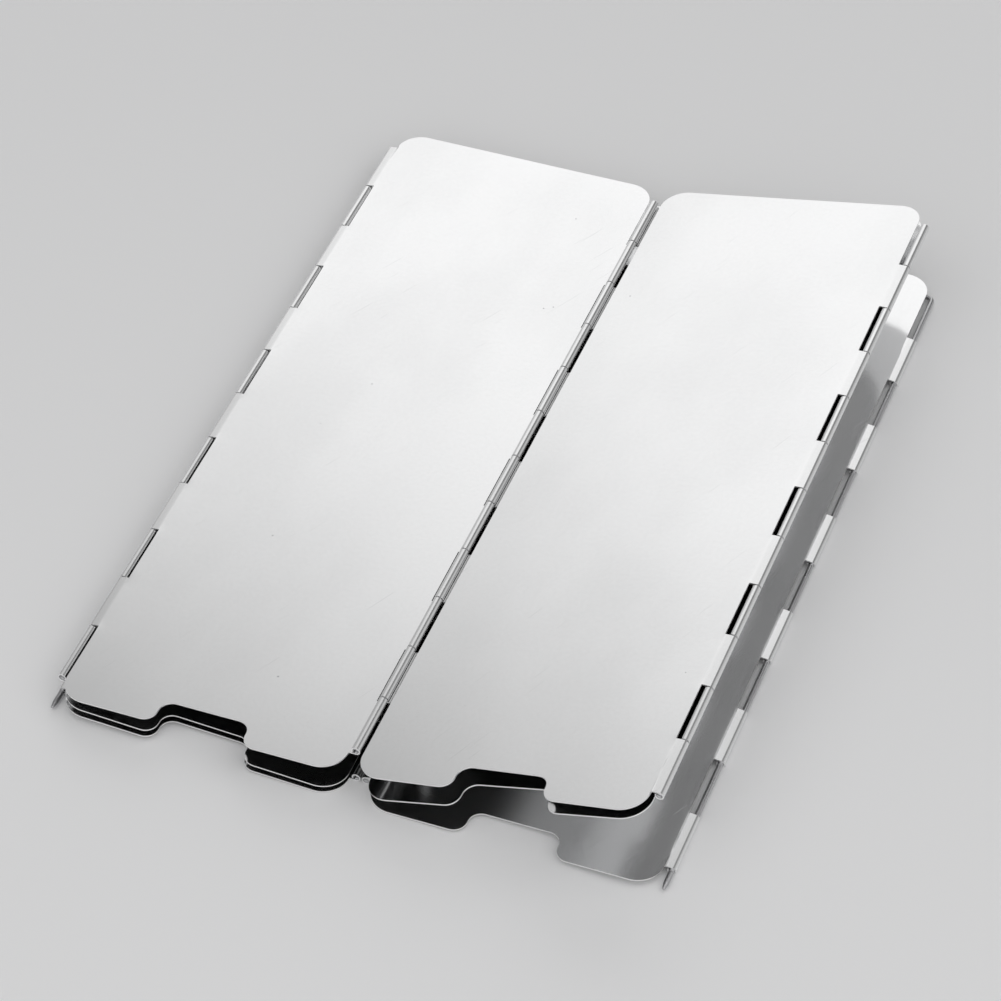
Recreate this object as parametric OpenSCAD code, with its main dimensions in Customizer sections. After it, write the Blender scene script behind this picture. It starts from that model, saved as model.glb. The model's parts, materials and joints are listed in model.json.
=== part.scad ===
// Folding stove windscreen: six sheet plates joined by rolled knuckles on wire rods, with a sliding
// ground stake in each free edge. It lies on its back, partly unfolded, with the notched lower edges
// of the plates towards -Y. The two halves of the zigzag rest on the ground plane.

/* [Plates] */
// Height of a plate, along its hinges
plate_height = 240; // [160:1:320]
// Distance across a plate between its two hinge feet
hinge_pitch = 81; // [60:1:120]
// Thickness of the sheet
sheet = 0.4; // [0.3:0.05:0.6]
// Radius of a plate's corners
corner_radius = 7; // [3:0.5:10]

/* [Air notch] */
// Width of the notch in the lower edge
notch_width = 24; // [14:1:40]
// Depth of the notch
notch_depth = 7.7; // [7:0.1:14]
// Radius of the notch's inner corners and of its mouth
notch_radius = 3.5; // [1:0.1:3.5]

/* [Hinges] */
// Diameter of the hinge rods and stakes
wire_diameter = 1.5; // [1.2:0.1:2]
// Radial clearance of a wire in its knuckles
wire_clearance = 0.05; // [0.02:0.01:0.1]
// Knuckles along one edge of a plate
knuckle_count = 6; // [3:1:9]
// Plain length of edge beyond the knuckles at each end
hinge_margin = 7; // [5:0.5:15]
// Gap between the ends of two meshed knuckles
knuckle_gap = 0.4; // [0.2:0.1:1]
// Clearance between a knuckle and the slot that it turns in
slot_clearance = 0.8; // [0.3:0.1:1.2]
// Angle of the open seam where a knuckle's rolled edge stops short of the plate
seam_angle = 60; // [55:1:90]
// Distance of a hinge rod's end inside the last knuckle
rod_inset = 1; // [0.5:0.1:4]

/* [Stakes] */
// Height of a stake's point above the lower edge of its plate
stake_inset = 1; // [0:0.5:6]
// Length of a stake's tapered point
point_length = 2; // [1:0.5:5]
// Distance of a stake's hook below the upper edge of its plate
hook_inset = 6; // [4:0.5:10]
// Bend radius of the hook, at the middle of the wire
hook_bend = 2; // [1.5:0.1:4]
// Straight length of the hook after the bend
hook_length = 1.5; // [1:0.1:4]

/* [Rest pose] */
// Lean of plate 2, which folds back over plate 1
lean_2 = 3.6; // [3:0.1:5]
// Lean of plate 3, which folds back over plate 2
lean_3 = 3.4; // [3:0.1:5]
// Lean of plate 4, which rises from plate 3
lean_4 = 11.5; // [11:0.5:20]

/* [Hidden] */
$fn = 48;
wire_r = wire_diameter / 2;
bore_r = wire_r + wire_clearance;
curl_r = bore_r + sheet;
// Offset of a hinge axis from the middle of the sheet that is rolled round it
axis_offset = bore_r + sheet / 2;
// Distance from a hinge axis to the straight slot edge of a plate
slot_edge = sqrt(pow(curl_r + slot_clearance, 2) - pow(bore_r, 2));
knuckle_step = (plate_height - 2 * hinge_margin) / (2 * knuckle_count);
knuckle_length = knuckle_step - knuckle_gap;
rod_length = plate_height - 2 * (hinge_margin + rod_inset);
// Overlap that lets the sheet of a knuckle run on into its plate
weld = corner_radius / 2;

// Sides of the sheet that a hinge axis lies on, and places of the knuckles in the row
FRONT = 1;
BACK = -1;
LOWER_FIRST = 0;
UPPER_FIRST = 1;

// Plates from left to right: [left axis side, right axis side, left places, right places]
PLATES = [
    [BACK, FRONT, LOWER_FIRST, LOWER_FIRST],
    [FRONT, BACK, UPPER_FIRST, LOWER_FIRST],
    [BACK, FRONT, UPPER_FIRST, LOWER_FIRST],
    [FRONT, BACK, UPPER_FIRST, LOWER_FIRST],
    [BACK, FRONT, UPPER_FIRST, LOWER_FIRST],
    [FRONT, BACK, UPPER_FIRST, LOWER_FIRST]
];

// Zigzag of hinge axes in the X-Z plane, from the left stake to the right stake
axis_span = sqrt(pow(hinge_pitch, 2) + pow(2 * axis_offset, 2));
axis_tilt = atan2(2 * axis_offset, hinge_pitch);
function stepped(from, angle) = from + axis_span * [cos(angle), sin(angle)];
axis_0 = [0, curl_r];
axis_1 = stepped(axis_0, 0);
axis_2 = stepped(axis_1, 180 - lean_2);
axis_3 = stepped(axis_2, lean_3);
axis_4 = stepped(axis_3, lean_4);
// Plate 5 comes down from hinge 4 until hinge 5 lies on the ground
lean_5 = asin((axis_4[1] - curl_r) / axis_span);
axis_5 = stepped(axis_4, 180 + lean_5);
axis_6 = stepped(axis_5, 0);
AXES = [axis_0, axis_1, axis_2, axis_3, axis_4, axis_5, axis_6];
SPAN_ANGLES = [0, 180 - lean_2, lean_3, lean_4, 180 + lean_5, 0];
// The origin is on the ground, under the middle of the outline
origin_x = (axis_0[0] + axis_6[0]) / 2;
origin_y = plate_height / 2;

// Angle of plate i in the X-Z plane
function plate_angle(i) = SPAN_ANGLES[i] - PLATES[i][1] * axis_tilt;

// Moves a child from the frame of plate i to its place: X across the plate, Y up the hinges, Z out of its front
module at_plate(i) {
    translate([AXES[i][0] - origin_x, -origin_y, AXES[i][1]])
        rotate([0, -plate_angle(i), 0])
            translate([0, 0, -PLATES[i][0] * axis_offset])
                children();
}

module rounded_rectangle(width, height, radius) {
    translate([radius, 0])
        square([width - 2 * radius, height]);
    translate([0, radius])
        square([width, height - 2 * radius]);
    for (x = [radius, width - radius], y = [radius, height - radius])
        translate([x, y])
            circle(r = radius);
}

// Notch with rounded inner corners and a mouth that is rounded out to the edge, centred on X
module air_notch() {
    half = notch_width / 2;
    past = 1;
    translate([-half, -past])
        square([notch_width, notch_depth - notch_radius + past]);
    translate([-half + notch_radius, -past])
        square([notch_width - 2 * notch_radius, notch_depth + past]);
    for (side = [-1, 1]) {
        translate([side * (half - notch_radius), notch_depth - notch_radius])
            circle(r = notch_radius);
        difference() {
            translate([side * (half + notch_radius / 2), (notch_radius - past) / 2])
                square([notch_radius, notch_radius + past], center = true);
            translate([side * (half + notch_radius), notch_radius])
                circle(r = notch_radius);
        }
    }
}

// Section of one rolled knuckle: the sheet comes along +X, meets the axis at X = 0 and rolls up round it
module knuckle_section() {
    reach = 2 * curl_r;
    translate([0, axis_offset])
        difference() {
            circle(r = curl_r);
            circle(r = bore_r);
            polygon([[0, 0], [0, -reach], [reach, -reach], reach * [sin(seam_angle), -cos(seam_angle)]]);
        }
    translate([0, -sheet / 2])
        square([slot_edge + weld, sheet]);
}

// Every second knuckle along an edge, rolled towards the front or the back of the plate
module knuckle_row(side, first) {
    for (k = [first : 2 : 2 * knuckle_count - 1])
        translate([0, hinge_margin + k * knuckle_step + knuckle_gap / 2, 0])
            scale_side(side)
                translate([0, knuckle_length, 0])
                    rotate([90, 0, 0])
                        linear_extrude(height = knuckle_length)
                            knuckle_section();
}

module scale_side(side) {
    if (side == FRONT)
        children();
    else
        mirror([0, 0, 1])
            children();
}

module plate(i) {
    setting = PLATES[i];
    color("gainsboro")
        at_plate(i) {
            translate([0, 0, -sheet / 2])
                linear_extrude(height = sheet)
                    difference() {
                        translate([slot_edge, 0])
                            rounded_rectangle(hinge_pitch - 2 * slot_edge, plate_height, corner_radius);
                        translate([hinge_pitch / 2, 0])
                            air_notch();
                    }
            knuckle_row(setting[0], setting[2]);
            translate([hinge_pitch, 0, 0])
                mirror([1, 0, 0])
                    knuckle_row(setting[1], setting[3]);
        }
}

// Straight rod through hinge i
module hinge_rod(i) {
    color("darkgray")
        translate([AXES[i][0] - origin_x, hinge_margin + rod_inset - origin_y, AXES[i][1]])
            rotate([-90, 0, 0])
                cylinder(r = wire_r, h = rod_length);
}

// Wire with a tapered point at Y = stake_inset and a hook that turns to +X near the upper edge
module stake_wire() {
    bend_start = plate_height - hook_inset - hook_bend;
    translate([0, stake_inset, 0])
        rotate([-90, 0, 0]) {
            cylinder(r1 = wire_r / 2, r2 = wire_r, h = point_length);
            translate([0, 0, point_length])
                cylinder(r = wire_r, h = bend_start - stake_inset - point_length);
        }
    translate([hook_bend, bend_start, 0])
        rotate([0, 0, 90])
            rotate_extrude(angle = 90)
                translate([hook_bend, 0])
                    circle(r = wire_r);
    translate([hook_bend, bend_start + hook_bend, 0])
        rotate([0, 90, 0])
            cylinder(r = wire_r, h = hook_length);
}

module stake_left() {
    color("darkgray")
        at_plate(0)
            translate([0, 0, BACK * axis_offset])
                stake_wire();
}

module stake_right() {
    color("darkgray")
        at_plate(5)
            translate([hinge_pitch, 0, BACK * axis_offset])
                mirror([1, 0, 0])
                    stake_wire();
}

plate(0);  // plate_1
plate(1);  // plate_2
plate(2);  // plate_3
plate(3);  // plate_4
plate(4);  // plate_5
plate(5);  // plate_6
hinge_rod(1);  // hinge_rod_1
hinge_rod(2);  // hinge_rod_2
hinge_rod(3);  // hinge_rod_3
hinge_rod(4);  // hinge_rod_4
hinge_rod(5);  // hinge_rod_5
stake_left();
stake_right();
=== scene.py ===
"""Looks of a folding stove windscreen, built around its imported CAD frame.

Every plate is worked out as the flat blank that it is cut from, on a grid of two parameters: across the
blank and up its hinges. The edges of the blank are then rolled round the hinge axes, so that the sheet
runs on into its knuckles as in the real thing. Rods and stakes are round wire carried along a path.
"""

import json
import logging
import math
from dataclasses import dataclass
from enum import Enum
from typing import Any

import bpy
import numpy as np
from mathutils import Matrix, Vector

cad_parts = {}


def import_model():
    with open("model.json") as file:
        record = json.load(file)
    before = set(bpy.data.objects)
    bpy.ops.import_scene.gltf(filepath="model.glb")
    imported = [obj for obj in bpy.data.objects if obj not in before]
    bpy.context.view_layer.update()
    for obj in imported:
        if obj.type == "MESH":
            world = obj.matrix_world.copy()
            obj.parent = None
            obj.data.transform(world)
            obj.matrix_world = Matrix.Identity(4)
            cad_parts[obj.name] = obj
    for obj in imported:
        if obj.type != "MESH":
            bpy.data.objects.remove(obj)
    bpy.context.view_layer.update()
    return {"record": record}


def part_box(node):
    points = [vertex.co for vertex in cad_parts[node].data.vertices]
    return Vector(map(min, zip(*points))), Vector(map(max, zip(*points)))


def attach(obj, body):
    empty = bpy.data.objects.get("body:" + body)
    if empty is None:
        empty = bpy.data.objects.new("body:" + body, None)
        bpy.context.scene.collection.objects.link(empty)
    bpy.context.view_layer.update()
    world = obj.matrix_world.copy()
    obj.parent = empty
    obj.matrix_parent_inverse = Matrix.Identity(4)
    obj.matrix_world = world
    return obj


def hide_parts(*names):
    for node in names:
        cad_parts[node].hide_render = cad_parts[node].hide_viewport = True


LOG = logging.getLogger("windscreen")
BLANK_UV = "blank"
CUT_EDGE_SLOT = 1
PHOTO_WIDTH = 1001
MM = 0.001
QUARTER_TURN = math.pi / 2

Colour = tuple[float, float, float]
Triple = tuple[float, float, float]
Span = tuple[float, float]


class Side(Enum):
    """Side of a sheet that a hinge axis lies on."""

    FRONT = 1
    BACK = -1


class Places(Enum):
    """Places in a row of knuckles that one plate takes, counted from its lower end."""

    LOWER_FIRST = 0
    UPPER_FIRST = 1


@dataclass(frozen=True)
class EdgeRoll:
    """How one hinge edge of a plate is rolled."""

    side: Side
    places: Places


# Plates from left to right: how the left and the right edge of each is rolled
PLATE_ROLLS = (
    (EdgeRoll(Side.BACK, Places.LOWER_FIRST), EdgeRoll(Side.FRONT, Places.LOWER_FIRST)),
    (EdgeRoll(Side.FRONT, Places.UPPER_FIRST), EdgeRoll(Side.BACK, Places.LOWER_FIRST)),
    (EdgeRoll(Side.BACK, Places.UPPER_FIRST), EdgeRoll(Side.FRONT, Places.LOWER_FIRST)),
    (EdgeRoll(Side.FRONT, Places.UPPER_FIRST), EdgeRoll(Side.BACK, Places.LOWER_FIRST)),
    (EdgeRoll(Side.BACK, Places.UPPER_FIRST), EdgeRoll(Side.FRONT, Places.LOWER_FIRST)),
    (EdgeRoll(Side.FRONT, Places.UPPER_FIRST), EdgeRoll(Side.BACK, Places.LOWER_FIRST)),
)


def arc(centre: Span, radius: float, start: float, end: float, count: int) -> np.ndarray:
    """Points on a circle: the centre plus the radius times cosine and sine of evenly spaced angles.

    Args:
        centre: Middle of the circle.
        radius: Its radius.
        start: First angle, in radians.
        end: Last angle, in radians.
        count: Number of steps.

    Returns:
        An array of count + 1 points.
    """
    angle = np.linspace(start, end, count + 1)
    return np.stack([centre[0] + radius * np.cos(angle), centre[1] + radius * np.sin(angle)], axis=1)


def between(first: np.ndarray | float, last: np.ndarray | float, count: int) -> np.ndarray:
    """Points or distances that divide a straight line into count steps, without its two ends."""
    return np.linspace(first, last, count + 1)[1:-1]


def grid_quads(rows: int, columns: int) -> np.ndarray:
    """Quads of a grid whose points are numbered row by row.

    Args:
        rows: Number of rows of points.
        columns: Number of points in a row.

    Returns:
        Point numbers, as an array of rows - 1 by columns - 1 by 4.
    """
    first = np.arange(rows - 1)[:, None] * columns + np.arange(columns - 1)[None, :]
    return np.stack([first, first + 1, first + columns + 1, first + columns], axis=-1)


def mesh_piece(name: str, points: np.ndarray, faces: list[list[int]]) -> bpy.types.Object:
    """Puts points and faces into a smooth mesh whose object sits at the origin.

    Args:
        name: Name of the piece.
        points: Places in the row frame, in metres, one row each.
        faces: Point numbers of each face, counter-clockwise seen from outside.

    Returns:
        The new object, in the scene's collection.
    """
    mesh = bpy.data.meshes.new(name)
    mesh.from_pydata(points.tolist(), [], faces)
    mesh.shade_smooth()
    mesh.update()
    piece = bpy.data.objects.new(name, mesh)
    bpy.context.scene.collection.objects.link(piece)
    return piece


class ShaderTree:
    """Adds and wires the nodes of one procedural material or of the world."""

    def __init__(self, owner: bpy.types.Material | bpy.types.World, shader: str) -> None:
        """Takes the node tree of a material or a world, and its shader by name."""
        owner.use_nodes = True
        self.owner = owner
        self.tree = owner.node_tree
        self.surface = self.tree.nodes[shader]

    @classmethod
    def of_material(cls, name: str) -> "ShaderTree":
        """Starts a material with its principled shader."""
        return cls(bpy.data.materials.new(name), "Principled BSDF")

    @classmethod
    def of_world(cls, name: str) -> "ShaderTree":
        """Starts a world with its background shader."""
        return cls(bpy.data.worlds.new(name), "Background")

    def add(self, kind: str, values: dict[str, Any] | None = None, **settings: Any) -> bpy.types.Node:
        """Adds a node.

        Args:
            kind: Blender's name of the node type.
            values: Values of its input sockets, by socket name.
            **settings: Values of the node's own properties.

        Returns:
            The new node.
        """
        node = self.tree.nodes.new(kind)
        for key, value in settings.items():
            setattr(node, key, value)
        for key, value in (values or {}).items():
            node.inputs[key].default_value = value
        return node

    def wire(self, source: bpy.types.NodeSocket, node: bpy.types.Node, socket: str | int) -> None:
        """Joins an output socket to a node's input."""
        self.tree.links.new(source, node.inputs[socket])

    def mapped(self, source: bpy.types.NodeSocket, scale: Triple, turn: float = 0.0) -> bpy.types.NodeSocket:
        """Scales and turns texture coordinates.

        Args:
            source: Coordinates to map.
            scale: Scale on each axis.
            turn: Turn in the plane of the first two axes, in radians.

        Returns:
            The mapped coordinates.
        """
        turned = self.add("ShaderNodeMapping", {"Rotation": (0.0, 0.0, turn)})
        self.wire(source, turned, "Vector")
        scaled = self.add("ShaderNodeMapping", {"Scale": scale})
        self.wire(turned.outputs["Vector"], scaled, "Vector")
        return scaled.outputs["Vector"]

    def noise(self, place: bpy.types.NodeSocket, detail: float = 2.0) -> bpy.types.NodeSocket:
        """Noise of unit scale at a place, as a factor."""
        node = self.add("ShaderNodeTexNoise", {"Scale": 1.0, "Detail": detail})
        self.wire(place, node, "Vector")
        return node.outputs["Fac"]

    def ranged(self, source: bpy.types.NodeSocket, low: float, high: float,
               to_low: float = 0.0, to_high: float = 1.0) -> bpy.types.NodeSocket:
        """Maps a range of values to another range, smoothly and with the ends held.

        Args:
            source: Value to map.
            low: Start of the range that it comes in.
            high: End of that range.
            to_low: What low becomes.
            to_high: What high becomes.

        Returns:
            The mapped value.
        """
        node = self.add("ShaderNodeMapRange", {"From Min": low, "From Max": high, "To Min": to_low,
                                               "To Max": to_high}, interpolation_type="SMOOTHSTEP")
        self.wire(source, node, "Value")
        return node.outputs["Result"]

    def maths(self, operation: str, first: bpy.types.NodeSocket,
              second: bpy.types.NodeSocket | float) -> bpy.types.NodeSocket:
        """One arithmetic step on two values."""
        node = self.add("ShaderNodeMath", operation=operation)
        self.wire(first, node, 0)
        if isinstance(second, (int, float)):
            node.inputs[1].default_value = second
        else:
            self.wire(second, node, 1)
        return node.outputs["Value"]

    def mix(self, factor: bpy.types.NodeSocket, first: bpy.types.NodeSocket | Colour,
            second: Colour) -> bpy.types.NodeSocket:
        """Mixes two colours.

        Args:
            factor: Share of the second colour.
            first: First colour, plain or from another node.
            second: Second colour.

        Returns:
            The mixed colour.
        """
        node = self.add("ShaderNodeMix", data_type="RGBA")
        self.wire(factor, node, "Factor")
        if isinstance(first, tuple):
            node.inputs["A"].default_value = (*first, 1.0)
        else:
            self.wire(first, node, "A")
        node.inputs["B"].default_value = (*second, 1.0)
        return node.outputs["Result"]

    def relief(self, height: bpy.types.NodeSocket, strength: float, depth: float) -> None:
        """Bumps the surface by a height, with a strength and a depth in metres."""
        node = self.add("ShaderNodeBump", {"Strength": strength, "Distance": depth})
        self.wire(height, node, "Height")
        self.wire(node.outputs["Normal"], self.surface, "Normal")


@dataclass(frozen=True)
class SatinAluminium:
    """Bright rolled sheet with a fine grain, faint handling scratches, a few specks and duller knuckles.

    The pitch and the slot edge are those of the plates: the sheet is worked beyond the slot edges. A scale is
    the number of features in a metre across and up the sheet. A range is the part of a pattern that shows.
    """

    pitch: float
    slot_edge: float
    name: str = "satin_aluminium"
    tone: Colour = (0.912, 0.914, 0.917)
    cloud_tone: Colour = (0.857, 0.859, 0.862)
    cloud_scale: Triple = (22.0, 13.0, 1.0)
    cloud_range: Span = (0.35, 0.68)
    cloud_share: float = 0.7
    mottle_scale: Triple = (900.0, 900.0, 1.0)
    mottle_range: Span = (0.30, 0.70)
    mottle_share: float = 0.3
    scratch_tone: Colour = (0.757, 0.757, 0.762)
    scratch_scale: Triple = (2600.0, 46.0, 1.0)
    scratch_turn: float = math.radians(28.0)
    scratch_range: Span = (0.74, 0.79)
    scratch_share: float = 0.5
    scratch_rough: float = 0.06
    speck_tone: Colour = (0.39, 0.39, 0.40)
    speck_scale: float = 420.0
    speck_edge: Span = (0.06, 0.12)
    speck_rarity: Span = (0.992, 0.994)
    speck_share: float = 0.8
    grain_scale: Triple = (5200.0, 260.0, 1.0)
    grain_rough: float = 0.03
    grain_relief: float = 0.35
    smooth: float = 0.075
    rough: float = 0.115
    rough_range: Span = (0.25, 0.75)
    worked_rough: float = 0.08
    relief_strength: float = 0.10
    relief_depth: float = 0.03 * MM

    def material(self) -> bpy.types.Material:
        """Builds the finish on the blank's own coordinates, in metres across and up the sheet.

        Returns:
            The material.
        """
        shader = ShaderTree.of_material(self.name)
        blank = shader.add("ShaderNodeUVMap", uv_map=BLANK_UV).outputs["UV"]
        grain = shader.noise(shader.mapped(blank, self.grain_scale), detail=3.0)
        cloud = shader.noise(shader.mapped(blank, self.cloud_scale), detail=4.0)
        mottle = shader.noise(shader.mapped(blank, self.mottle_scale), detail=3.0)
        scratch = shader.noise(shader.mapped(blank, self.scratch_scale, self.scratch_turn), detail=1.0)
        scratch = shader.ranged(scratch, *self.scratch_range)
        speck = self.speck(shader, blank)
        dull = shader.maths("ADD", shader.ranged(cloud, *self.cloud_range, 0.0, self.cloud_share),
                            shader.ranged(mottle, *self.mottle_range, 0.0, self.mottle_share))
        tone = shader.mix(dull, self.tone, self.cloud_tone)
        tone = shader.mix(shader.maths("MULTIPLY", scratch, self.scratch_share), tone, self.scratch_tone)
        tone = shader.mix(shader.maths("MULTIPLY", speck, self.speck_share), tone, self.speck_tone)
        shader.wire(tone, shader.surface, "Base Color")
        shader.wire(self.roughness(shader, blank, cloud, scratch, grain), shader.surface, "Roughness")
        shader.surface.inputs["Metallic"].default_value = 1.0
        marks = shader.maths("ADD", shader.maths("MULTIPLY", grain, self.grain_relief), scratch)
        shader.relief(shader.maths("SUBTRACT", marks, speck), self.relief_strength, self.relief_depth)
        return shader.owner

    def speck(self, shader: ShaderTree, blank: bpy.types.NodeSocket) -> bpy.types.NodeSocket:
        """Small round specks: the middles of a few cells of a Voronoi pattern, picked by the cell's colour.

        Args:
            shader: Nodes of the material.
            blank: Coordinates on the blank.

        Returns:
            1 on a speck and 0 elsewhere.
        """
        cells = shader.add("ShaderNodeTexVoronoi", {"Scale": self.speck_scale})
        shader.wire(blank, cells, "Vector")
        pick = shader.add("ShaderNodeSeparateColor")
        shader.wire(cells.outputs["Color"], pick, "Color")
        dots = shader.ranged(cells.outputs["Distance"], *self.speck_edge, 1.0, 0.0)
        return shader.maths("MULTIPLY", dots, shader.ranged(pick.outputs["Red"], *self.speck_rarity))

    def roughness(self, shader: ShaderTree, blank: bpy.types.NodeSocket, cloud: bpy.types.NodeSocket,
                  scratch: bpy.types.NodeSocket, grain: bpy.types.NodeSocket) -> bpy.types.NodeSocket:
        """Roughness of the sheet: it follows the clouds, and rises on scratches, grain and worked edges.

        Args:
            shader: Nodes of the material.
            blank: Coordinates on the blank.
            cloud: Large soft pattern.
            scratch: Scratches, from 0 to 1.
            grain: Fine pattern along the sheet.

        Returns:
            The roughness.
        """
        worn = shader.maths("ADD", shader.ranged(cloud, *self.rough_range, self.smooth, self.rough),
                            shader.maths("MULTIPLY", scratch, self.scratch_rough))
        worn = shader.maths("ADD", worn, shader.maths("MULTIPLY", grain, self.grain_rough))
        split = shader.add("ShaderNodeSeparateXYZ")
        shader.wire(blank, split, "Vector")
        ease, far = self.slot_edge / 2, self.pitch - self.slot_edge
        left = shader.ranged(split.outputs["X"], ease, self.slot_edge, self.worked_rough, 0.0)
        right = shader.ranged(split.outputs["X"], far, far + ease, 0.0, self.worked_rough)
        return shader.maths("ADD", worn, shader.maths("ADD", left, right))


@dataclass(frozen=True)
class ShearedEdge:
    """Finely torn metal of the cut edges of the sheet, bright partly from a painted highlight: its tone is
    set above the sheet's own.
    """

    name: str = "sheared_aluminium_painted_highlight"
    # Painted highlight: this tone is brighter than the sheet's aluminium, so that the cut edges show as
    # bright lines; the torn roughness below is real.
    tone: Colour = (0.97, 0.97, 0.972)
    tear_scale: Triple = (1500.0, 1500.0, 6000.0)
    tear_range: Span = (0.3, 0.7)
    smooth: float = 0.38
    rough: float = 0.52

    def material(self) -> bpy.types.Material:
        """Builds the finish on Object coordinates.

        Returns:
            The material.
        """
        shader = ShaderTree.of_material(self.name)
        place = shader.add("ShaderNodeTexCoord").outputs["Object"]
        torn = shader.ranged(shader.noise(shader.mapped(place, self.tear_scale)), *self.tear_range,
                             self.smooth, self.rough)
        shader.wire(torn, shader.surface, "Roughness")
        shader.surface.inputs["Base Color"].default_value = (*self.tone, 1.0)
        shader.surface.inputs["Metallic"].default_value = 1.0
        return shader.owner


@dataclass(frozen=True)
class DrawnWire:
    """Bright steel wire with the lengthwise lines of its drawing die."""

    name: str = "drawn_steel_wire"
    tone: Colour = (0.58, 0.58, 0.59)
    line_tone: Colour = (0.445, 0.445, 0.455)
    line_scale: Triple = (9000.0, 90.0, 9000.0)
    line_range: Span = (0.40, 0.70)
    cloud_scale: Triple = (300.0, 120.0, 300.0)
    cloud_range: Span = (0.3, 0.7)
    smooth: float = 0.20
    rough: float = 0.36
    relief_strength: float = 0.12
    relief_depth: float = 0.03 * MM

    def material(self) -> bpy.types.Material:
        """Builds the finish on Object coordinates, with lines that run along Y.

        Returns:
            The material.
        """
        shader = ShaderTree.of_material(self.name)
        place = shader.add("ShaderNodeTexCoord").outputs["Object"]
        lines = shader.noise(shader.mapped(place, self.line_scale))
        cloud = shader.noise(shader.mapped(place, self.cloud_scale), detail=3.0)
        tone = shader.mix(shader.ranged(lines, *self.line_range), self.tone, self.line_tone)
        shader.wire(tone, shader.surface, "Base Color")
        worn = shader.ranged(cloud, *self.cloud_range, self.smooth, self.rough)
        shader.wire(worn, shader.surface, "Roughness")
        shader.surface.inputs["Metallic"].default_value = 1.0
        shader.relief(lines, self.relief_strength, self.relief_depth)
        return shader.owner


@dataclass(frozen=True)
class Stock:
    """Sizes that every plate shares, in metres and radians. The first three come from the frame."""

    height: float
    span: float
    wire_radius: float
    sheet: float = 0.4 * MM
    wire_clearance: float = 0.05 * MM
    corner_radius: float = 7.0 * MM
    notch_width: float = 24.0 * MM
    notch_depth: float = 7.7 * MM
    notch_radius: float = 3.5 * MM
    knuckle_count: int = 6
    hinge_margin: float = 7.0 * MM
    knuckle_gap: float = 0.4 * MM
    slot_clearance: float = 0.8 * MM
    seam_angle: float = math.radians(60.0)

    @property
    def axis_offset(self) -> float:
        """Distance from a hinge axis to the middle of the sheet that is rolled round it."""
        return self.wire_radius + self.wire_clearance + self.sheet / 2

    @property
    def pitch(self) -> float:
        """Distance across a plate between its two hinge feet."""
        return math.sqrt(self.span ** 2 - (2 * self.axis_offset) ** 2)

    @property
    def axis_tilt(self) -> float:
        """Angle between a plate and the line from one of its hinge axes to the other."""
        return math.atan2(2 * self.axis_offset, self.pitch)

    @property
    def slot_edge(self) -> float:
        """Distance from a hinge axis to the straight slot edge of a plate."""
        reach = self.axis_offset + self.sheet / 2 + self.slot_clearance
        return math.sqrt(reach ** 2 - (self.axis_offset - self.sheet / 2) ** 2)

    @property
    def knuckle_step(self) -> float:
        """Length of one place in the row of knuckles."""
        return (self.height - 2 * self.hinge_margin) / (2 * self.knuckle_count)


@dataclass
class HingeChain:
    """The zigzag of hinge axes in the X-Z plane, from the left stake to the right stake."""

    axes: np.ndarray
    low: float
    stock: Stock

    @classmethod
    def from_frame(cls, record: dict[str, Any]) -> "HingeChain":
        """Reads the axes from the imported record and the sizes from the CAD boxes.

        Args:
            record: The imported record.

        Returns:
            The chain, in the row frame.
        """
        joints = {joint["name"]: joint for joint in record["behaviour"]["joints"]}
        mounts = {mount["name"]: mount for mount in record["mounts"]}
        places = [mounts["stake_left_point"]["pos_m"]]
        places += [joints[f"hinge_{number}"]["pos_m"] for number in range(1, len(PLATE_ROLLS))]
        places += [mounts["stake_right_point"]["pos_m"]]
        axes = np.array(places, dtype=float)[:, [0, 2]]
        plate_low, plate_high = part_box("plate_3")
        rod_low, rod_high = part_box("hinge_rod_1")
        stock = Stock(height=float(plate_high[1] - plate_low[1]),
                      span=float(np.hypot(*(axes[1] - axes[0]))),
                      wire_radius=float(rod_high[0] - rod_low[0]) / 2)
        return cls(axes=axes, low=float(plate_low[1]), stock=stock)

    def directions(self, index: int) -> tuple[np.ndarray, np.ndarray]:
        """Directions of a plate in the X-Z plane.

        Args:
            index: Place of the plate in the chain, from 0.

        Returns:
            The direction from its left to its right edge, and the direction out of its front.
        """
        step = self.axes[index + 1] - self.axes[index]
        side = PLATE_ROLLS[index][1].side.value
        angle = math.atan2(step[1], step[0]) - side * self.stock.axis_tilt
        return np.array([math.cos(angle), math.sin(angle)]), np.array([-math.sin(angle), math.cos(angle)])

    def placed(self, index: int, across: np.ndarray, up: np.ndarray, out: np.ndarray) -> np.ndarray:
        """Moves points of a plate from its own frame to the row frame.

        The place is the left hinge axis plus the two plate directions times the distances across and out,
        with the middle of the sheet one axis offset from that axis.

        Args:
            index: Place of the plate in the chain, from 0.
            across: Distances from the left hinge foot towards the right one.
            up: Distances from the lower edge.
            out: Distances in front of the middle of the sheet.

        Returns:
            Points, with the last axis of length 3.
        """
        along, front = self.directions(index)
        out = out - PLATE_ROLLS[index][0].side.value * self.stock.axis_offset
        start = self.axes[index]
        return np.stack([start[0] + across * along[0] + out * front[0], self.low + up,
                         start[1] + across * along[1] + out * front[1]], axis=-1)


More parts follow.
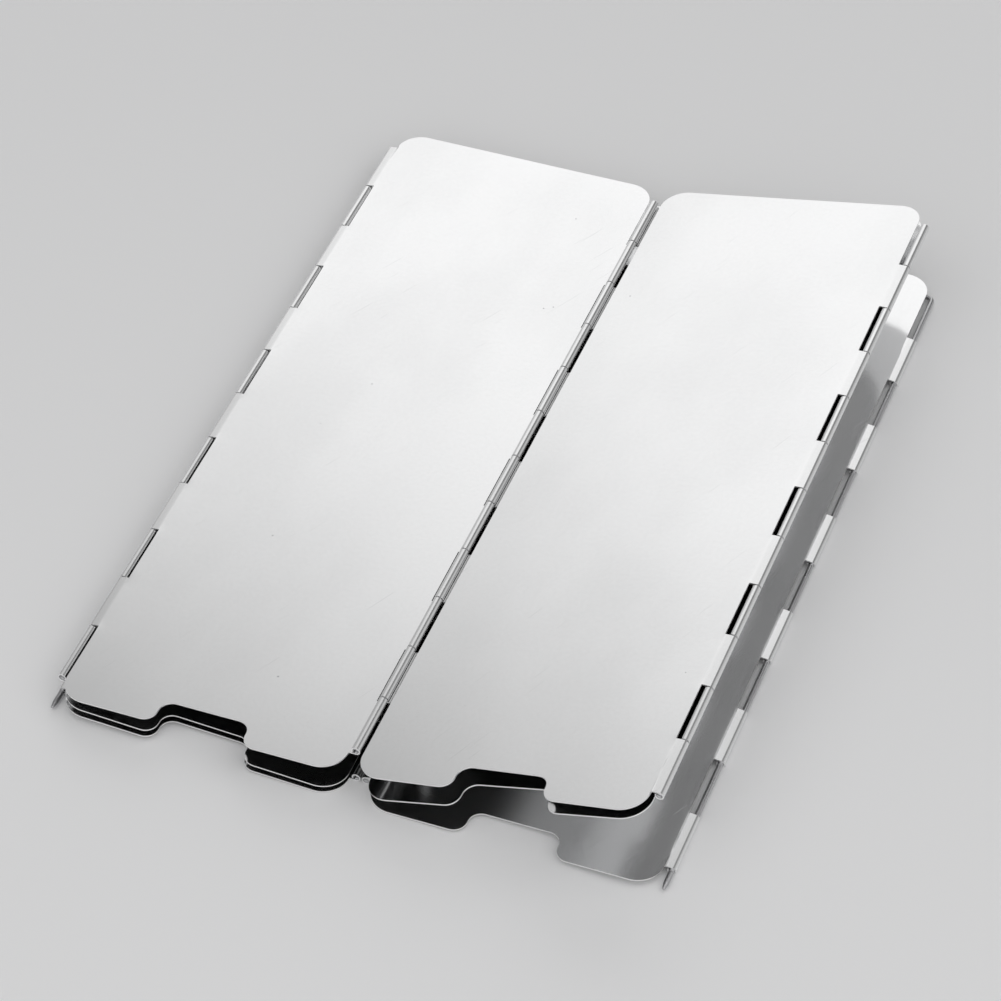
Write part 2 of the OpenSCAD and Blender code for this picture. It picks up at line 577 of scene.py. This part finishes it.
@dataclass
class SheetPlate:
    """One plate with its rolled knuckles, made from a flat blank.

    A number of steps is how many cells of the grid a curve or a straight takes. The waves of the dish are in
    half turns over the height of the plate.
    """

    chain: HingeChain
    index: int
    corner_steps: int = 24
    edge_steps: int = 9
    notch_steps: int = 8
    notch_top_steps: int = 5
    least_step: float = 0.15 * MM
    outline_ease: float = 1.5
    curl_steps: int = 42
    knuckle_rows: int = 6
    neck_steps: int = 10
    neck_slope: float = math.radians(9.0)
    neck_bend: float = 0.3 * MM
    neck_start: float = 0.15 * MM
    dish: float = 0.06 * MM
    dish_waves: Span = (2.1, 3.3)
    dish_second_share: float = 0.5
    dish_phase: float = 1.7
    dish_second_phase: float = 2.3
    edge_break: float = 0.16 * MM
    edge_segments: int = 3
    edge_angle: float = math.radians(50.0)

    @property
    def node(self) -> str:
        """Name of the CAD node and body that the plate stands for."""
        return f"plate_{self.index + 1}"

    @property
    def rolls(self) -> tuple[EdgeRoll, EdgeRoll]:
        """How its left and its right edge are rolled."""
        return PLATE_ROLLS[self.index]

    def lower_edge(self) -> np.ndarray:
        """Outline of the lower edge from left to right: a corner, half the notch, and both in reverse.

        Returns:
            Points across and up the plate.
        """
        stock = self.chain.stock
        middle, round_r = stock.pitch / 2, stock.notch_radius
        wall = middle - stock.notch_width / 2
        corner = arc((stock.slot_edge + stock.corner_radius, stock.corner_radius), stock.corner_radius,
                     2 * QUARTER_TURN, 3 * QUARTER_TURN, self.corner_steps)
        mouth = arc((wall - round_r, round_r), round_r, 3 * QUARTER_TURN, 4 * QUARTER_TURN, self.notch_steps)
        inner = arc((wall + round_r, stock.notch_depth - round_r), round_r,
                    2 * QUARTER_TURN, QUARTER_TURN, self.notch_steps)
        top = np.array([[middle, stock.notch_depth]])
        left = np.concatenate([corner, between(corner[-1], mouth[0], self.edge_steps), mouth, inner,
                               between(inner[-1], top[0], self.notch_top_steps), top])
        right = left[-2::-1] * (-1.0, 1.0) + (stock.pitch, 0.0)
        return np.concatenate([left, right])

    def upper_edge(self, lower: np.ndarray) -> np.ndarray:
        """Outline of the upper edge, with as many points as the lower one and always on to the right.

        Args:
            lower: Outline of the lower edge.

        Returns:
            Points across and up the plate.
        """
        stock = self.chain.stock
        count = self.corner_steps
        corner = arc((stock.slot_edge + stock.corner_radius, stock.height - stock.corner_radius),
                     stock.corner_radius, 2 * QUARTER_TURN, QUARTER_TURN, count)
        step = np.maximum(np.diff(lower[count:-count, 0]), self.least_step)
        along = np.concatenate([[0.0], np.cumsum(step)]) / np.sum(step)
        start, end = corner[-1, 0], stock.pitch - corner[-1, 0]
        straight = np.stack([start + (end - start) * along, np.full(along.shape, stock.height)], axis=1)
        mirrored = corner[-2::-1] * (-1.0, 1.0) + (stock.pitch, 0.0)
        return np.concatenate([corner[:-1], straight, mirrored])

    def row_heights(self) -> np.ndarray:
        """Heights of the grid's rows along a hinge edge, with one at each end of each knuckle.

        Returns:
            Rising heights above the lower edge.
        """
        stock = self.chain.stock
        ends = stock.hinge_margin + stock.knuckle_step * np.arange(2 * stock.knuckle_count + 1)
        marks = (ends[:, None] + stock.knuckle_gap / 2 * np.array([-1.0, 1.0])).ravel()[1:-1]
        marks = np.unique(np.append(marks, [stock.corner_radius, stock.height - stock.corner_radius]))
        parts = [np.linspace(low, high, self.knuckle_rows if high - low > stock.knuckle_step / 2 else 1,
                             endpoint=False) for low, high in zip(marks[:-1], marks[1:])]
        return np.concatenate([*parts, marks[-1:]])

    def own_rows(self, heights: np.ndarray, places: Places) -> np.ndarray:
        """Which strips between rows carry a knuckle of this plate.

        Args:
            heights: Heights of the rows.
            places: The places that the edge takes.

        Returns:
            True for each strip inside one of its own knuckles.
        """
        number, inside = self.knuckle_number(heights)
        return inside & (number % 2 == places.value)

    def knuckle_number(self, heights: np.ndarray) -> tuple[np.ndarray, np.ndarray]:
        """Number of the knuckle place that each strip is in, and whether it is clear of the gaps.

        Args:
            heights: Heights of the rows.

        Returns:
            Whole numbers from 0 at the lower end, and truth values.
        """
        stock = self.chain.stock
        middle = (heights[1:] + heights[:-1]) / 2 - stock.hinge_margin
        number = np.floor(middle / stock.knuckle_step).astype(int)
        spare = np.abs(middle - (number + 0.5) * stock.knuckle_step)
        inside = (spare < (stock.knuckle_step - stock.knuckle_gap) / 2)
        return number, inside & (number >= 0) & (number < 2 * stock.knuckle_count)

    def slope(self, side: Side) -> float:
        """Slope of the necks along an edge: only those of an edge rolled to the back are bent."""
        return self.neck_slope if side is Side.BACK else 0.0

    def neck_fall(self, distance: np.ndarray | float, side: Side) -> np.ndarray:
        """Fall of the neck of a knuckle towards its axis: a straight slope after a soft bend.

        The fall is the tangent of the slope times half of the sum of d and the root of d squared plus the
        bend squared, where d is the way outwards from the start of the neck.

        Args:
            distance: Distances from the hinge foot inwards.
            side: Side that the edge is rolled to.

        Returns:
            The fall below the flat of the plate, almost 0 inside the slot edge.
        """
        outwards = self.chain.stock.slot_edge - self.neck_start - distance
        return math.tan(self.slope(side)) * (outwards + np.sqrt(outwards ** 2 + self.neck_bend ** 2)) / 2

    def neck_lift(self, side: Side) -> float:
        """How much further from its axis the flat of the plate lies than the sheet on top of a knuckle."""
        radius, slope = self.chain.stock.axis_offset, self.slope(side)
        return float(self.neck_fall(-radius * math.sin(slope), side)) - radius * (1.0 - math.cos(slope))

    def rolled_edge(self, side: Side) -> tuple[np.ndarray, np.ndarray, np.ndarray]:
        """Section of a rolled edge, from the slot edge outwards.

        The sheet slopes along its neck until it meets a circle of one axis offset, and runs round it: the
        place across is minus the radius times the sine of the angle, and the place out is the radius times
        one minus its cosine.

        Args:
            side: Side that the edge is rolled to.

        Returns:
            Places across, places out towards the axis, and lengths along the sheet from the hinge foot.
        """
        stock = self.chain.stock
        radius, slope = stock.axis_offset, self.slope(side)
        neck = np.linspace(stock.slot_edge, -radius * math.sin(slope), self.neck_steps + 1)[1:-1]
        angle = np.linspace(slope, 2 * math.pi - stock.seam_angle, self.curl_steps + 1)
        across = np.concatenate([neck, -radius * np.sin(angle)])
        fallen = self.neck_fall(neck, side) - self.neck_lift(side)
        out = np.concatenate([fallen, radius * (1.0 - np.cos(angle))])
        return across, out, np.concatenate([neck, -radius * angle])

    def flat_part(self, heights: np.ndarray) -> tuple[np.ndarray, np.ndarray, np.ndarray]:
        """The flat middle of the plate between its slot edges.

        Rows lie at the given heights, and bend to the lower and the upper outline over the length of one
        knuckle. The sheet lies one neck lift further from a hinge axis than the knuckles do, and bends down
        to them at their necks.

        Args:
            heights: Heights of the rows along the hinge edges.

        Returns:
            Grids of places across, up and out.
        """
        stock = self.chain.stock
        lower = self.lower_edge()
        upper = self.upper_edge(lower)
        rise = (heights - stock.corner_radius) / stock.knuckle_step
        fall = (stock.height - stock.corner_radius - heights) / stock.knuckle_step
        near_low = np.clip(1.0 - rise, 0.0, 1.0)[:, None] ** self.outline_ease
        near_high = np.clip(1.0 - fall, 0.0, 1.0)[:, None] ** self.outline_ease
        across = upper[None, :, 0] + (lower[None, :, 0] - upper[None, :, 0]) * near_low
        up = (heights[:, None] + (lower[None, :, 1] - stock.corner_radius) * near_low
              + (upper[None, :, 1] - stock.height + stock.corner_radius) * near_high)
        width = stock.pitch - 2 * stock.slot_edge
        ahead = np.clip((across - stock.slot_edge) / width, 0.0, 1.0)
        out = self.dished(ahead, up)
        level = np.clip(1.0 - np.abs(up - heights[:, None]) / stock.sheet, 0.0, 1.0)
        for share, distance, roll in zip((1.0 - ahead, ahead), (across, stock.pitch - across), self.rolls):
            strips = self.own_rows(heights, roll.places).astype(float)
            rows = np.maximum(np.append(strips, 0.0), np.insert(strips, 0, 0.0))[:, None]
            out = out + roll.side.value * (rows * level * self.neck_fall(distance, roll.side)
                                           - self.neck_lift(roll.side) * share)
        return across, up, out

    def dished(self, ahead: np.ndarray, up: np.ndarray) -> np.ndarray:
        """Slight dish of the flat: two sines up the plate, times the square of a half sine across it.

        Args:
            ahead: Shares of the way from the left to the right slot edge.
            up: Distances from the lower edge.

        Returns:
            Distances out of the plate, 0 at both slot edges.
        """
        rise = math.pi * up / self.chain.stock.height
        first, second = self.dish_waves
        phase = self.dish_phase * self.index
        waves = np.sin(first * rise + phase) + self.dish_second_share * np.sin(
            second * rise + 2.0 * math.pi * ahead + self.dish_second_phase * phase)
        return self.dish * np.sin(math.pi * ahead) ** 2 * waves

    def build(self, finish: bpy.types.Material, cut: bpy.types.Material) -> bpy.types.Object:
        """Builds the plate, gives its sheet a thickness and dresses it.

        Args:
            finish: Material of the sheet.
            cut: Material of its cut edges.

        Returns:
            The piece, riding on its body.
        """
        stock = self.chain.stock
        heights = self.row_heights()
        across, up, out = self.flat_part(heights)
        left, right = self.rolls
        left_across, left_out, left_length = self.rolled_edge(left.side)
        right_across, right_out, right_length = self.rolled_edge(right.side)
        ones = np.ones((len(heights), 1))
        grid_across = np.hstack([ones * left_across[::-1], across, ones * (stock.pitch - right_across)])
        grid_out = np.hstack([ones * left_out[::-1] * left.side.value, out,
                              ones * right_out * right.side.value])
        edge_up = np.repeat(heights[:, None], len(left_across), axis=1)
        grid_up = np.hstack([edge_up, up, edge_up])
        blank = np.hstack([ones * left_length[::-1], across, ones * (stock.pitch - right_length)])
        keep = self.kept_cells(heights, across.shape[1] - 1, len(left_across))
        quads = grid_quads(*grid_across.shape)[keep]
        used, faces = np.unique(quads, return_inverse=True)
        points = self.chain.placed(self.index, grid_across, grid_up, grid_out).reshape(-1, 3)[used]
        piece = mesh_piece(f"{self.node}_sheet", points, faces.reshape(-1, 4).tolist())
        layer = piece.data.uv_layers.new(name=BLANK_UV)
        places = np.stack([blank.ravel(), grid_up.ravel() + self.index * stock.height], axis=1)
        layer.data.foreach_set("uv", places[quads.ravel()].astype(np.float32).ravel())
        piece.data.materials.append(finish)
        piece.data.materials.append(cut)
        self.thicken(piece)
        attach(piece, self.node)
        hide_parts(self.node)
        return piece

    def kept_cells(self, heights: np.ndarray, flat_columns: int, roll_columns: int) -> np.ndarray:
        """Cells of the whole grid that are sheet: the flat part and the plate's own knuckles.

        Args:
            heights: Heights of the rows.
            flat_columns: Number of cells across the flat part.
            roll_columns: Number of cells in a rolled edge.

        Returns:
            Truth values, one for each cell.
        """
        left, right = (self.own_rows(heights, roll.places) for roll in self.rolls)
        flat = np.ones_like(left)
        return np.stack([left] * roll_columns + [flat] * flat_columns + [right] * roll_columns, axis=1)

    def thicken(self, piece: bpy.types.Object) -> None:
        """Gives the middle surface its thickness and breaks its edges, in the material of the cut edges."""
        wall = piece.modifiers.new("sheet", "SOLIDIFY")
        wall.thickness = self.chain.stock.sheet
        wall.offset = 0.0
        wall.use_even_offset = True
        wall.material_offset_rim = CUT_EDGE_SLOT
        edge = piece.modifiers.new("edge_break", "BEVEL")
        edge.width = self.edge_break
        edge.segments = self.edge_segments
        edge.limit_method = "ANGLE"
        edge.angle_limit = self.edge_angle
        edge.harden_normals = True
        edge.material = CUT_EDGE_SLOT


@dataclass
class Wire:
    """Round wire carried along a path that lies in one plane."""

    radius: float
    sides: int = 28
    end_break: float = 0.15 * MM
    end_steps: int = 4

    def tube(self, name: str, path: np.ndarray, across: np.ndarray, scale: np.ndarray) -> bpy.types.Object:
        """Carries a circle along a path.

        A ring point is the path point plus the radius times the cosine of its angle along the plane's
        normal and the sine along the path's side, both times the scale at that point.

        Args:
            name: Name of the piece.
            path: Points of the path.
            across: Normal of the plane that the path lies in.
            scale: Share of the radius at each point.

        Returns:
            The closed tube.
        """
        along = np.gradient(path, axis=0)
        along /= np.linalg.norm(along, axis=1, keepdims=True)
        side = np.cross(along, across)
        angle = np.linspace(0.0, 2 * math.pi, self.sides, endpoint=False)
        ring = (np.cos(angle)[None, :, None] * across[None, None, :]
                + np.sin(angle)[None, :, None] * side[:, None, :])
        points = path[:, None, :] + self.radius * scale[:, None, None] * ring
        number = np.arange(len(path) * self.sides).reshape(len(path), self.sides)
        after = np.roll(number, -1, axis=1)
        quads = np.stack([number[:-1], number[1:], after[1:], after[:-1]], axis=-1).reshape(-1, 4)
        caps = [number[0].tolist(), number[-1, ::-1].tolist()]
        return mesh_piece(name, points.reshape(-1, 3), quads.tolist() + caps)

    def broken_ends(self, lengths: np.ndarray) -> np.ndarray:
        """Share of the radius near a cut end: it falls on a quarter ellipse along the break."""
        total = lengths[-1]
        spare = np.clip(np.minimum(lengths, total - lengths) / self.end_break, 0.0, 1.0)
        return 1.0 - self.end_break / self.radius * (1.0 - np.sqrt(1.0 - (1.0 - spare) ** 2))

    def end_places(self) -> np.ndarray:
        """Distances of the rings of a broken end from that end: the break times one minus a cosine."""
        return self.end_break * (1.0 - np.cos(np.linspace(0.0, QUARTER_TURN, self.end_steps + 1)))


def path_lengths(path: np.ndarray) -> np.ndarray:
    """Length along a path at each of its points."""
    return np.concatenate([[0.0], np.cumsum(np.linalg.norm(np.diff(path, axis=0), axis=1))])


@dataclass
class HingeRod:
    """Straight rod through one hinge."""

    chain: HingeChain
    number: int
    steps: int = 25

    def build(self, finish: bpy.types.Material) -> bpy.types.Object:
        """Builds the rod between the ends of its CAD node.

        Args:
            finish: Material of the wire.

        Returns:
            The piece, riding on the plate before the hinge.
        """
        node = f"hinge_rod_{self.number}"
        low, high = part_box(node)
        axis = self.chain.axes[self.number]
        wire = Wire(self.chain.stock.wire_radius)
        ends = wire.end_places()
        up = np.concatenate([low[1] + ends, between(low[1], high[1], self.steps), (high[1] - ends)[::-1]])
        path = np.stack([np.full_like(up, axis[0]), up, np.full_like(up, axis[1])], axis=1)
        scale = wire.broken_ends(path_lengths(path))
        piece = wire.tube(f"{node}_wire", path, np.array([1.0, 0.0, 0.0]), scale)
        piece.data.materials.append(finish)
        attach(piece, f"plate_{self.number}")
        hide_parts(node)
        return piece


@dataclass
class GroundStake:
    """Wire stake that slides in a free edge, with a point below and a hook above."""

    chain: HingeChain
    node: str
    index: int
    inward: int
    point_length: float = 2.0 * MM
    point_share: float = 0.5
    point_steps: int = 6
    shank_steps: int = 29
    hook_bend: float = 2.0 * MM
    bend_steps: int = 12
    hook_length: float = 1.5 * MM

    def build(self, finish: bpy.types.Material) -> bpy.types.Object:
        """Builds the stake: a straight shank, a quarter circle towards the plate and a short leg.

        Args:
            finish: Material of the wire.

        Returns:
            The piece, riding on its own body.
        """
        low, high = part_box(self.node)
        wire = Wire(self.chain.stock.wire_radius)
        along, front = self.chain.directions(self.index)
        axis = self.chain.axes[self.index if self.inward > 0 else self.index + 1]
        top = high[1] - wire.radius
        bend_start, point_end = top - self.hook_bend, low[1] + self.point_length
        turn = np.linspace(0.0, QUARTER_TURN, self.bend_steps + 1)
        ends = wire.end_places()
        shank = np.concatenate([low[1] + ends, between(low[1] + ends[-1], point_end, self.point_steps),
                                [point_end], between(point_end, bend_start, self.shank_steps)])
        leg = np.concatenate([[self.hook_length / 2], (self.hook_length - ends)[::-1]])
        inside = np.concatenate([np.zeros_like(shank), self.hook_bend * (1.0 - np.cos(turn)),
                                 self.hook_bend + leg])
        up = np.concatenate([shank, bend_start + self.hook_bend * np.sin(turn), np.full_like(leg, top)])
        reach = self.inward * inside
        path = np.stack([axis[0] + reach * along[0], up, axis[1] + reach * along[1]], axis=1)
        lengths = path_lengths(path)
        point = self.point_share + (1.0 - self.point_share) * np.clip(lengths / self.point_length, 0.0, 1.0)
        piece = wire.tube(f"{self.node}_wire", path, np.array([front[0], 0.0, front[1]]),
                          point * wire.broken_ends(lengths))
        piece.data.materials.append(finish)
        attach(piece, self.node)
        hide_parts(self.node)
        return piece


@dataclass
class Studio:
    """Plain pale floor, soft light and a camera at the photograph's viewing angle."""

    camera_place: Triple = (0.26154, -0.72766, 0.75824)
    camera_aim: Triple = (0.00030, -0.01541, 0.010)
    camera_roll: float = math.radians(0.919)
    camera_clip: Span = (0.01, 20.0)
    focal_pixels: float = 4017.3
    sensor: float = 36.0
    floor_half: float = 3.0
    floor_drop: float = 0.03 * MM
    floor_tone: Colour = (0.88, 0.88, 0.885)
    floor_rough: float = 0.7
    sky_tone: Colour = (1.0, 1.0, 1.0)
    sky_dim: float = 0.20
    sky_bright: float = 1.05
    glow_back: Span = (0.505, 0.72)
    glow_right: Span = (0.19, 0.04)
    glow_left: Span = (-0.72, -0.42)
    glow_left_least: float = 0.5
    side_glow: Span = (0.36, 0.80)
    side_back: Span = (0.25, 0.60)
    side_bright: float = 0.62
    softbox_place: Triple = (0.45, -0.75, 1.25)
    softbox_size: Span = (4.8, 3.4)
    softbox_power: float = 39.5

    def build(self) -> None:
        """Builds the whole stage."""
        self.floor()
        self.world()
        self.softbox()
        self.camera()

    def floor(self) -> bpy.types.Object:
        """Lays a plain matt floor just under the object.

        Returns:
            The floor.
        """
        half, drop = self.floor_half, -self.floor_drop
        corners = [[-half, -half, drop], [half, -half, drop], [half, half, drop], [-half, half, drop]]
        floor = mesh_piece("floor", np.array(corners), [[0, 1, 2, 3]])
        shader = ShaderTree.of_material("pale_floor")
        shader.surface.inputs["Base Color"].default_value = (*self.floor_tone, 1.0)
        shader.surface.inputs["Roughness"].default_value = self.floor_rough
        floor.data.materials.append(shader.owner)
        return floor

    def world(self) -> None:
        """Sets a dim sky with two soft glows that the plates reflect, behind the object and at its right.

        The strength is the dim level plus the rest times three smooth steps: one on the Y of the direction
        and one on its X for either side of the glow. The glow at the right adds a smooth step on X times one
        on Y.
        """
        tree = ShaderTree.of_world("studio")
        split = tree.add("ShaderNodeSeparateXYZ")
        tree.wire(tree.add("ShaderNodeTexCoord").outputs["Generated"], split, "Vector")
        across, ahead = split.outputs["X"], split.outputs["Y"]
        glow = tree.ranged(ahead, *self.glow_back)
        glow = tree.maths("MULTIPLY", glow, tree.ranged(across, *self.glow_right))
        glow = tree.maths("MULTIPLY", glow, tree.ranged(across, *self.glow_left, self.glow_left_least))
        glow = tree.maths("MULTIPLY", glow, self.sky_bright - self.sky_dim)
        side = tree.ranged(across, *self.side_glow, 0.0, self.side_bright - self.sky_dim)
        side = tree.maths("MULTIPLY", side, tree.ranged(ahead, *self.side_back))
        level = tree.maths("ADD", tree.maths("ADD", glow, self.sky_dim), side)
        tree.surface.inputs["Color"].default_value = (*self.sky_tone, 1.0)
        tree.wire(level, tree.surface, "Strength")
        bpy.context.scene.world = tree.owner

    def softbox(self) -> None:
        """Hangs a wide soft lamp over the front of the object."""
        lamp = bpy.data.lights.new("softbox", "AREA")
        lamp.shape = "RECTANGLE"
        lamp.size, lamp.size_y = self.softbox_size
        lamp.energy = self.softbox_power
        holder = bpy.data.objects.new("softbox", lamp)
        place = Vector(self.softbox_place)
        holder.matrix_world = Matrix.Translation(place) @ place.to_track_quat("Z", "Y").to_matrix().to_4x4()
        bpy.context.scene.collection.objects.link(holder)

    def camera(self) -> None:
        """Places the camera: it looks from its place to its aim, rolled a little about that line."""
        data = bpy.data.cameras.new("camera")
        data.sensor_width = self.sensor
        data.lens = self.focal_pixels / PHOTO_WIDTH * self.sensor
        data.clip_start, data.clip_end = self.camera_clip
        ahead = (Vector(self.camera_aim) - Vector(self.camera_place)).normalized()
        level = ahead.cross(Vector((0.0, 0.0, 1.0))).normalized()
        above = level.cross(ahead)
        right = level * math.cos(self.camera_roll) + above * math.sin(self.camera_roll)
        top = above * math.cos(self.camera_roll) - level * math.sin(self.camera_roll)
        turn = Matrix((right, top, -ahead)).transposed().to_4x4()
        holder = bpy.data.objects.new("camera", data)
        holder.matrix_world = Matrix.Translation(Vector(self.camera_place)) @ turn
        bpy.context.scene.collection.objects.link(holder)
        bpy.context.scene.camera = holder


def main() -> None:
    """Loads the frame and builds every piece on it."""
    logging.basicConfig(level=logging.INFO, format="%(name)s: %(message)s")
    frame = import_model()
    bpy.context.scene.view_settings.view_transform = "Standard"
    chain = HingeChain.from_frame(frame["record"])
    sheet = SatinAluminium(pitch=chain.stock.pitch, slot_edge=chain.stock.slot_edge).material()
    cut = ShearedEdge().material()
    wire = DrawnWire().material()
    pieces = [SheetPlate(chain, index).build(sheet, cut) for index in range(len(PLATE_ROLLS))]
    pieces += [HingeRod(chain, number).build(wire) for number in range(1, len(PLATE_ROLLS))]
    pieces += [GroundStake(chain, "stake_left", 0, 1).build(wire),
               GroundStake(chain, "stake_right", len(PLATE_ROLLS) - 1, -1).build(wire)]
    for piece in pieces:
        LOG.info("%s: %d faces before modifiers", piece.name, len(piece.data.polygons))
    Studio().build()


if __name__ == "__main__":
    main()
